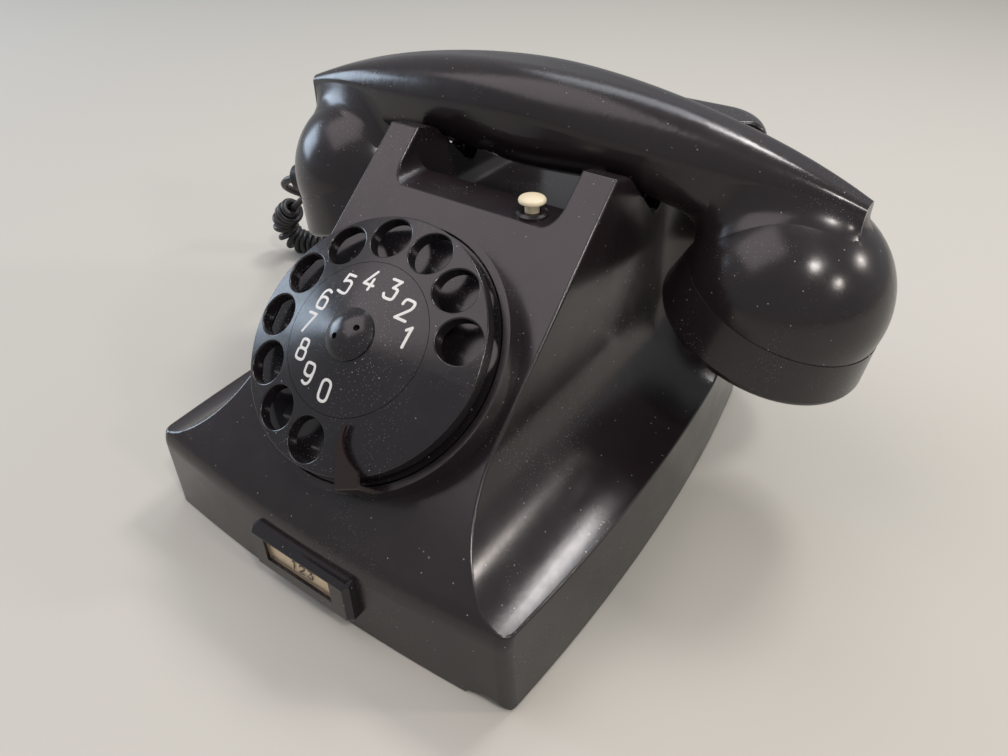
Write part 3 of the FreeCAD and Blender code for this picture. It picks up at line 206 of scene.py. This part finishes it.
DUST_COLOUR = (0.42, 0.39, 0.38)
DUST_COVER, DUST_ROUGHNESS = 0.6, 0.3
GRAIN_CELLS, GRAIN_SIZE = 300, 0.055
FINE_CELLS, FINE_SIZE = 1250, 0.17
PATCH_SCALE, PATCH_DETAIL, PATCH_ROUGH, PATCH_FULL = 38, 5, 0.65, 0.8


def dusty(nodes, base, patch_start):
    """Mixes settled dust into a colour, as single grains and as fine grains in patches."""
    grains = nodes.math("LESS_THAN", nodes.cells(GRAIN_CELLS), GRAIN_SIZE)
    fine = nodes.math("LESS_THAN", nodes.cells(FINE_CELLS), FINE_SIZE)
    patches = nodes.noise(PATCH_SCALE, PATCH_DETAIL, PATCH_ROUGH)
    patches = nodes.span(patches, patch_start, PATCH_FULL)
    dust = nodes.math("MAXIMUM", grains, nodes.math("MULTIPLY", fine, patches))
    return nodes.mix(nodes.math("MULTIPLY", dust, DUST_COVER), base, DUST_COLOUR), dust


def bakelite():
    """Black phenolic moulding: a dull gloss with a brown cast, fine scratches and settled dust."""
    material, shader = plain_material("bakelite", (0.013, 0.01, 0.011), 0.26)
    nodes = Nodes(material, shader)
    base = nodes.mix(nodes.noise(22, 4, 0.6), (0.009, 0.0065, 0.0075), (0.02, 0.0145, 0.0165))
    colour, dust = dusty(nodes, base, 0.52)
    nodes.colour(colour)
    wear = nodes.span(nodes.noise(60, 6, 0.7), 0.3, 0.75, 0.17, 0.3)
    nodes.roughness(nodes.math("ADD", wear, nodes.math("MULTIPLY", dust, DUST_ROUGHNESS)))
    nodes.normal(nodes.bump(nodes.noise(700, 2), 0.00003, 0.4))
    return material


def gloss_black(name, patch_start):
    """The dial's smooth black plastic, with dust on it."""
    material, shader = plain_material(name, (0.011, 0.0095, 0.0105), 0.2)
    nodes = Nodes(material, shader)
    base = nodes.mix(nodes.noise(40), (0.008, 0.007, 0.008), (0.015, 0.0125, 0.0145))
    colour, dust = dusty(nodes, base, patch_start)
    nodes.colour(colour)
    wear = nodes.span(nodes.noise(90, 5, 0.7), 0.3, 0.75, 0.14, 0.28)
    nodes.roughness(nodes.math("ADD", wear, nodes.math("MULTIPLY", dust, DUST_ROUGHNESS)))
    nodes.normal(nodes.bump(nodes.noise(500, 2), 0.00003, 0.4))
    return material


def rubber(name, colour, roughness):
    material, shader = plain_material(name, colour, roughness)
    nodes = Nodes(material, shader)
    nodes.roughness(nodes.span(nodes.noise(140, 4), 0.3, 0.7, roughness - 0.08, roughness + 0.1))
    nodes.normal(nodes.bump(nodes.noise(1400, 2), 0.00005, 0.5))
    return material


def metal(name, colour, roughness):
    material, shader = plain_material(name, colour, roughness, 1.0)
    nodes = Nodes(material, shader)
    nodes.roughness(nodes.span(nodes.noise(220, 4), 0.3, 0.7, roughness - 0.08, roughness + 0.1))
    tint = nodes.noise(45, 4)
    dark = tuple(0.8 * c for c in colour)
    nodes.colour(nodes.mix(tint, dark, colour))
    return material


def moulded(name, colour, roughness):
    material, shader = plain_material(name, colour, roughness)
    nodes = Nodes(material, shader)
    dark = tuple(0.82 * c for c in colour)
    nodes.colour(nodes.mix(nodes.noise(120, 4, 0.6), dark, colour))
    nodes.roughness(nodes.span(nodes.noise(160, 4), 0.3, 0.7, roughness - 0.06, roughness + 0.08))
    nodes.normal(nodes.bump(nodes.noise(900, 2), 0.00003, 0.4))
    return material


def paper():
    material, shader = plain_material("card", (0.8, 0.6, 0.4), 0.85)
    nodes = Nodes(material, shader)
    stain = nodes.mix(nodes.noise(180, 5, 0.7), (0.8, 0.6, 0.38), (0.96, 0.8, 0.58))
    nodes.colour(stain)
    nodes.normal(nodes.bump(nodes.noise(2500, 3), 0.00004, 0.6))
    return material


def window_plastic():
    material, shader = plain_material("clear_window", (0.95, 0.93, 0.88), 0.08)
    shader.inputs["Alpha"].default_value = 0.06
    nodes = Nodes(material, shader)
    nodes.roughness(nodes.span(nodes.noise(150, 4), 0.3, 0.7, 0.05, 0.2))
    return material


def finish_nodes():
    """Gives every CAD node its finish."""
    finishes = {
        "bakelite": bakelite(),
        "dial_black": gloss_black("gloss_black", 0.46),
        "number_face": gloss_black("number_face", 0.4),
        "label_black": gloss_black("label_black", 0.7),
        "card": paper(),
        "clear_window": window_plastic(),
        "cream_button": moulded("cream_button", (0.74, 0.64, 0.44), 0.38),
        "stop_brown": moulded("stop_brown", (0.017, 0.0085, 0.0075), 0.16),
        "sheet_steel": metal("sheet_steel", (0.42, 0.42, 0.41), 0.42),
        "steel": metal("steel", (0.55, 0.55, 0.54), 0.3),
        "brass": metal("brass", (0.6, 0.43, 0.18), 0.35),
        "foot_rubber": rubber("foot_rubber", (0.02, 0.02, 0.02), 0.7),
        "cord_rubber": rubber("cord_rubber", (0.008, 0.008, 0.009), 0.38),
        "gong_steel": metal("gong_steel", (0.6, 0.6, 0.58), 0.25),
        "copper_coil": moulded("copper_coil", (0.3, 0.09, 0.04), 0.4),
        "dark_laminate": moulded("dark_laminate", (0.09, 0.05, 0.03), 0.5),
        "aluminium_can": metal("aluminium_can", (0.6, 0.6, 0.6), 0.4),
    }
    slots = {part["node"]: part["material_slot"] for part in frame["record"]["subparts"]}
    for name, node in frame["nodes"].items():
        node.data.materials.clear()
        node.data.materials.append(finishes[slots[name]])
    return finishes


# ---------------------------------------------------------------- digits

DIAL_TILT = math.radians(40.57)
DIAL_SPOT = Vector((0, -0.0499684, 0.0666741))
DIAL_UP = Vector((0, math.cos(DIAL_TILT), math.sin(DIAL_TILT)))
DIAL_OUT = Vector((0, -math.sin(DIAL_TILT), math.cos(DIAL_TILT)))
WHEEL_RISE, WHEEL_RADIUS, WHEEL_SLOPE = 15.0 * MM, 38.0 * MM, math.radians(11.0)
DIGIT_RING, FIRST_DIGIT, DIGIT_STEP = 16.55 * MM, 19.25, 27.63
PAINT_RADIUS, PAINT_THICK = 0.47 * MM, 0.06 * MM
INK_RADIUS, INK_THICK, INK_SLANT, INK_HEIGHT = 0.27 * MM, 0.02 * MM, 0.12, 0.0168
# The number on the card: each digit, its place across in millimetres and its size.
CARD_DIGITS = [("1", -3.2, 0.66), ("2", 0.2, 0.62), ("3", 3.6, 0.6)]
# A stroke's rings, from its edge to its middle: part of the radius and of the thickness.
STROKE_RINGS = [(1.0, -1.0), (0.82, 0.8), (0.0, 1.0)]
END_STEPS = 8
# Each digit's strokes, as NURBS control points in millimetres about its centre.
STROKES = {
    "1": [[(-1.0, 1.75), (0.15, 2.9)], [(0.15, 2.9), (0.15, -2.9)]],
    "2": [
        [(-1.6, 1.3), (-1.6, 2.9), (0.0, 3.0), (1.7, 2.9), (1.7, 0.9), (0.4, -0.6), (-1.6, -2.9)],
        [(-1.6, -2.9), (1.7, -2.9)],
    ],
    "3": [
        [(-1.4, 2.9), (1.5, 2.9)],
        [(1.5, 2.9), (0.0, 0.5)],
        [
            *[(0.0, 0.5), (1.75, 0.7), (1.8, -1.1), (1.7, -2.9)],
            *[(0.0, -3.0), (-1.3, -2.9), (-1.7, -1.9)],
        ],
    ],
    "4": [[(0.5, 2.9), (-1.7, -1.4)], [(-1.7, -1.4), (1.8, -1.4)], [(0.8, 0.5), (0.8, -2.9)]],
    "5": [
        [(1.5, 2.9), (-1.1, 2.9)],
        [(-1.1, 2.9), (-1.35, 0.5)],
        [
            *[(-1.35, 0.5), (0.1, 1.3), (1.75, 0.8), (1.8, -1.0)],
            *[(1.75, -2.9), (0.0, -3.0), (-1.7, -2.6)],
        ],
    ],
    "6": [
        [(1.3, 2.5), (0.2, 3.2), (-1.4, 2.2), (-1.7, -0.3), (-1.7, -1.2)],
        [(-1.7, -1.2), (-1.7, -2.9), (0.0, -3.0), (1.7, -2.9), (1.7, -1.2), (1.6, 0.5), (0.0, 0.6)],
        [(0.0, 0.6), (-1.6, 0.5), (-1.7, -1.2)],
    ],
    "7": [[(-1.5, 2.9), (1.6, 2.9)], [(1.6, 2.9), (-0.9, -2.9)]],
    "8": [
        [(0.0, 0.25), (1.35, 0.3), (1.4, 1.6), (1.35, 2.9), (0.0, 2.95)],
        [(0.0, 2.95), (-1.35, 2.9), (-1.4, 1.6), (-1.35, 0.3), (0.0, 0.25)],
        [(0.0, 0.25), (1.65, 0.2), (1.75, -1.3), (1.65, -2.9), (0.0, -2.95)],
        [(0.0, -2.95), (-1.65, -2.9), (-1.75, -1.3), (-1.65, 0.2), (0.0, 0.25)],
    ],
    "9": [
        [(-1.3, -2.5), (-0.2, -3.2), (1.4, -2.2), (1.7, 0.3), (1.7, 1.2)],
        [(1.7, 1.2), (1.7, 2.9), (0.0, 3.0), (-1.7, 2.9), (-1.7, 1.2), (-1.6, -0.5), (0.0, -0.6)],
        [(0.0, -0.6), (1.6, -0.5), (1.7, 1.2)],
    ],
    "0": [
        [(0.0, 2.95), (1.5, 2.9), (1.65, 0.0), (1.5, -2.9), (0.0, -2.95)],
        [(0.0, -2.95), (-1.5, -2.9), (-1.65, 0.0), (-1.5, 2.9), (0.0, 2.95)],
    ],
}


def stroke(points, radius, thick):
    """A painted stroke with round ends: its points (right, up, rise) and faces."""
    route = line_of([(x * MM, y * MM, 0) for x, y in points])
    line = resample(route, radius / 2)[1][:, :2]
    along = np.gradient(line, axis=0)
    along /= np.linalg.norm(along, axis=1)[:, None]
    left = np.column_stack([-along[:, 1], along[:, 0]])
    sides, centres = [], []
    for spots, normals in ((line, left), (line[::-1], -left[::-1])):
        sides += list(normals)
        centres += list(spots)
        start = math.atan2(normals[-1][1], normals[-1][0])
        for step in range(1, END_STEPS):
            angle = start - math.pi * step / END_STEPS
            sides.append(np.array([math.cos(angle), math.sin(angle)]))
            centres.append(spots[-1])
    sides, centres = np.array(sides), np.array(centres)
    count = len(sides)
    rings = [
        np.column_stack([centres + sides * radius * part, np.full(count, rise * thick)])
        for part, rise in STROKE_RINGS
    ]
    faces = []
    for low in range(0, count * (len(rings) - 1), count):
        for i in range(count):
            j = (i + 1) % count
            faces.append((low + j, low + i, low + count + i, low + count + j))
    return np.concatenate(rings), faces


def joined(name, parts, material):
    """One mesh piece from (points, faces) pairs."""
    points, faces = [], []
    for spots, rings in parts:
        faces += [tuple(len(points) + i for i in ring) for ring in rings]
        points += [tuple(spot) for spot in spots]
    form = bmesh.new()
    corners = [form.verts.new(point) for point in points]
    for face in faces:
        form.faces.new([corners[i] for i in face])
    bmesh.ops.remove_doubles(form, verts=form.verts, dist=SAME_SPOT)
    mesh = bpy.data.meshes.new(name)
    form.to_mesh(mesh)
    form.free()
    mesh.materials.append(material)
    piece = bpy.data.objects.new(name, mesh)
    bpy.context.collection.objects.link(piece)
    return piece


def dial_digits(material):
    """White digits on the conical disc, in the order 1 to 9, then 0."""
    parts = []
    for count, text in enumerate("1234567890"):
        angle = math.radians(FIRST_DIGIT + DIGIT_STEP * count)
        for points in STROKES[text]:
            spots, faces = stroke(points, PAINT_RADIUS, PAINT_THICK)
            right = spots[:, 0] + DIGIT_RING * math.cos(angle)
            up = spots[:, 1] + DIGIT_RING * math.sin(angle)
            slope = (WHEEL_RADIUS - np.hypot(right, up)) * math.tan(WHEEL_SLOPE)
            rise = WHEEL_RISE + slope + spots[:, 2]
            flat = np.outer(right, (1, 0, 0)) + np.outer(up, DIAL_UP) + np.outer(rise, DIAL_OUT)
            parts.append((np.array(DIAL_SPOT) + flat, faces))
    digits = joined("dial_digits", parts, material)
    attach(digits, "dial")


def card_number(material):
    """A plain number, written in ink on the card."""
    card_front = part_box("label_card")[0][1]
    middle = (0.0, card_front, INK_HEIGHT)
    parts = []
    for text, across, size in CARD_DIGITS:
        for points in STROKES[text]:
            small = [(x * size + across + INK_SLANT * y, y * size) for x, y in points]
            spots, faces = stroke(small, INK_RADIUS, INK_THICK)
            flat = np.column_stack([spots[:, 0], -spots[:, 2], spots[:, 1]])
            parts.append((np.array(middle) + flat, faces))
    number = joined("card_number", parts, material)
    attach(number, "telephone")


# ---------------------------------------------------------------- handset

VOXEL = 0.9 * MM
# The blends lie between two distances from the middle, and above a height.
BLEND_NEAR, BLEND_FAR, BLEND_LOW = 0.052, 0.108, 0.078
BLEND_STEPS, SMOOTH_STEPS, STEP_SHARE = 260, 8, 0.5
# The blends' faces are lowered a little, so that their borders dip into the shell.
BLEND_LOWERED, BLEND_SUNK, BORDER_SHARE = 0.13 * MM, 0.5 * MM, 0.4
SHORT = 1e-12


def corner_normals(points, quads):
    """Unit normals at the corners of a mesh of quads."""
    across = points[quads[:, 2]] - points[quads[:, 0]]
    over = points[quads[:, 3]] - points[quads[:, 1]]
    faces = np.cross(across, over)
    normals = np.zeros_like(points)
    for corner in range(4):
        for axis in range(3):
            normals[:, axis] += np.bincount(quads[:, corner], faces[:, axis], len(points))
    return normals / np.maximum(np.linalg.norm(normals, axis=1), SHORT)[:, None]


def shell_voxels():
    """The handset's shell as an even mesh: its points, quads and edges."""
    shell = frame["nodes"]["handset_shell"]
    draft = bpy.data.objects.new("draft", shell.data.copy())
    draft.data.transform(shell.matrix_world)
    bpy.context.collection.objects.link(draft)
    remesh = draft.modifiers.new("remesh", "REMESH")
    remesh.mode = "VOXEL"
    remesh.voxel_size = VOXEL
    finished = draft.evaluated_get(bpy.context.evaluated_depsgraph_get())
    mesh = bpy.data.meshes.new_from_object(finished)
    points = np.array([vertex.co for vertex in mesh.vertices])
    quads = np.array([tuple(face.vertices) for face in mesh.polygons if len(face.vertices) == 4])
    edges = np.array([tuple(edge.vertices) for edge in mesh.edges])
    bpy.data.objects.remove(draft)
    bpy.data.meshes.remove(mesh)
    return points, quads, edges


def handset_blends(material):
    """Broad blends that fill the hollow creases between the handset's grip and its domes."""
    first, quads, edges = shell_voxels()
    count = np.maximum(np.bincount(edges.ravel(), minlength=len(first)), 1)
    side = np.abs(first[:, 0])
    free = (side > BLEND_NEAR) & (side < BLEND_FAR) & (first[:, 2] > BLEND_LOW)

    def beside(values):
        """The mean of each corner's neighbours."""
        sums = [
            np.bincount(edges[:, 0], column[edges[:, 1]], len(first))
            + np.bincount(edges[:, 1], column[edges[:, 0]], len(first))
            for column in values.T
        ]
        return np.column_stack(sums) / count[:, None]

    points = first.copy()
    for _ in range(BLEND_STEPS):
        normals = corner_normals(points, quads)
        push = ((beside(points) - points) * normals).sum(axis=1)
        points += STEP_SHARE * (np.maximum(push, 0) * free)[:, None] * normals
    height = np.linalg.norm(points - first, axis=1)[:, None]
    for _ in range(SMOOTH_STEPS):
        height = beside(height)
        points += STEP_SHARE * (beside(points) - points) * free[:, None]
    points -= BLEND_LOWERED * corner_normals(points, quads)
    below = first - BLEND_SUNK * corner_normals(first, quads)
    raised = height[:, 0] > BORDER_SHARE * BLEND_LOWERED
    used, flat = np.unique(quads[raised[quads].all(axis=1)], return_inverse=True)
    top = flat.reshape(-1, 4).tolist()
    deep = len(used)
    under = [[i + deep for i in reversed(ring)] for ring in top]
    pairs = [pair for ring in top for pair in zip(ring, ring[1:] + ring[:1])]
    shared = set(pairs)
    walls = [(b, a, a + deep, b + deep) for a, b in pairs if (b, a) not in shared]
    spots = np.concatenate([points[used], below[used]])
    blends = joined("handset_blends", [(spots, top + under + walls)], material)
    blends.data.shade_smooth()
    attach(blends, "handset")


# ---------------------------------------------------------------- curly cord

WIRE_RADIUS = 1.6 * MM
CURL_RADIUS = 6.7 * MM
LEAD_ROUTE = [
    (-0.11786, 0.02291, 0.0681),
    (-0.12251, 0.02192, 0.06691),
    (-0.1298, 0.024, 0.061),
    (-0.13, 0.037, 0.0515),
    (-0.1445, 0.05, 0.0445),
    (-0.1592, 0.055, 0.0339),
    (-0.1645, 0.0553, 0.0293),
]
CURL_ROUTE = [
    (-0.1645, 0.0553, 0.0293),
    (-0.1686, 0.0555, 0.0257),
    (-0.1746, 0.056, 0.0202),
    (-0.1752, 0.0572, 0.0125),
    (-0.1696, 0.0596, 0.0068),
    (-0.1614, 0.062, 0.0068),
    (-0.1515, 0.0648, 0.0068),
    (-0.138, 0.069, 0.0068),
    (-0.123, 0.075, 0.0068),
    (-0.102, 0.088, 0.0068),
    (-0.08, 0.102, 0.0068),
    (-0.057, 0.112, 0.0068),
    (-0.035, 0.118, 0.0068),
    (-0.014, 0.121, 0.0068),
]
TAIL_ROUTE = [
    (-0.014, 0.121, 0.0068),
    (0.0, 0.123, 0.0068),
    (0.013, 0.1235, 0.0046),
    (0.0245, 0.119, 0.007),
    (0.03, 0.11, 0.011),
    (0.03, 0.098, 0.011),
]
POINTS_A_TURN = 16
ROUTE_STEP = 0.2 * MM
BEND_STEPS = 31
# Turns lie a little further apart than the wire is thick, and more so in bends.
CLOSE_PITCH, BEND_SHARE, LEAST_SHARE = 2.06, 0.5, 0.75
# The coil narrows to the wire over its last turns.
END_TURNS, END_CURVE = 0.8, 0.7


def nurbs(name, points, radius=0.0):
    """A NURBS curve of order 3 through its two end points."""
    data = bpy.data.curves.new(name, "CURVE")
    data.dimensions = "3D"
    data.resolution_u = 6
    spline = data.splines.new("NURBS")
    spline.points.add(len(points) - 1)
    for point, spot in zip(spline.points, points):
        point.co = (*spot, 1)
    spline.order_u = 3
    spline.use_endpoint_u = True
    data.bevel_depth = radius
    data.bevel_resolution = 4
    curve = bpy.data.objects.new(name, data)
    bpy.context.collection.objects.link(curve)
    return curve


def line_of(points):
    """The points that a NURBS spline with these control points passes through."""
    curve = nurbs("route", points)
    mesh = bpy.data.meshes.new_from_object(curve)
    line = np.array([vertex.co for vertex in mesh.vertices])
    bpy.data.meshes.remove(mesh)
    data = curve.data
    bpy.data.objects.remove(curve)
    bpy.data.curves.remove(data)
    return line


def resample(line, step):
    """Evenly spaced points on a line of points."""
    reach = np.concatenate([[0], np.cumsum(np.linalg.norm(np.diff(line, axis=0), axis=1))])
    keep = np.concatenate([[True], np.diff(reach) > SAME_SPOT])
    spots = np.linspace(0, reach[-1], int(reach[-1] / step) + 1)
    even = np.column_stack([np.interp(spots, reach[keep], line[keep, i]) for i in range(3)])
    return spots, even


def helix(line):
    """A close helix about a line, its turns fanned out where the line bends."""
    spots, even = resample(line, ROUTE_STEP)
    along = np.gradient(even, axis=0)
    along /= np.linalg.norm(along, axis=1)[:, None]
    bend = np.linalg.norm(np.gradient(along, spots, axis=0), axis=1)
    padded = np.pad(bend, BEND_STEPS // 2, mode="edge")
    bend = np.convolve(padded, np.ones(BEND_STEPS) / BEND_STEPS, mode="valid")
    full = CURL_RADIUS - WIRE_RADIUS
    pitch = CLOSE_PITCH * WIRE_RADIUS / np.clip(1 - BEND_SHARE * bend * full, LEAST_SHARE, 1)
    angle = np.concatenate([[0], np.cumsum(2 * math.pi / pitch[:-1] * np.diff(spots))])
    turns = int(angle[-1] / (2 * math.pi))
    side = np.cross(along[0], (0, 0, 1))
    sides = [side / np.linalg.norm(side)]
    for direction in along[1:]:
        side = sides[-1] - direction * sides[-1].dot(direction)
        sides.append(side / np.linalg.norm(side))
    sides = np.array(sides)
    others = np.cross(along, sides)
    points = []
    for step in np.linspace(0, angle[-1], turns * POINTS_A_TURN):
        i = min(int(np.searchsorted(angle, step)), len(angle) - 1)
        end = min(step, angle[-1] - step) / (2 * math.pi)
        radius = full * min(1, end / END_TURNS) ** END_CURVE
        points.append(even[i] + radius * (math.cos(step) * sides[i] + math.sin(step) * others[i]))
    return points


def tube_mesh(name, points, radius):
    """A mesh tube round the line of a NURBS spline."""
    curve = nurbs(name + "_line", points, radius)
    mesh = bpy.data.meshes.new_from_object(curve)
    mesh.name = name
    data = curve.data
    bpy.data.objects.remove(curve)
    bpy.data.curves.remove(data)
    mesh.shade_smooth()
    tube = bpy.data.objects.new(name, mesh)
    bpy.context.collection.objects.link(tube)
    return tube


def make_cord(material):
    lead = [Vector(p) for p in LEAD_ROUTE]
    tail = [Vector(p) for p in TAIL_ROUTE]
    coil = helix(line_of(CURL_ROUTE))
    points = [*lead[:-1], *coil, *tail[1:]]
    cord = tube_mesh("handset_cord", points, WIRE_RADIUS)
    cord.data.materials.clear()
    cord.data.materials.append(material)
    path = line_of(points)
    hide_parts("handset_cord_lead", "handset_cord_curl", "handset_cord_tail")
    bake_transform(cord)


make_camera()
make_stage()
finishes = finish_nodes()
dial_digits(moulded("digit_white", (0.72, 0.71, 0.68), 0.5))
card_number(moulded("card_ink", (0.03, 0.012, 0.008), 0.7))
handset_blends(finishes["bakelite"])
make_cord(finishes["cord_rubber"])
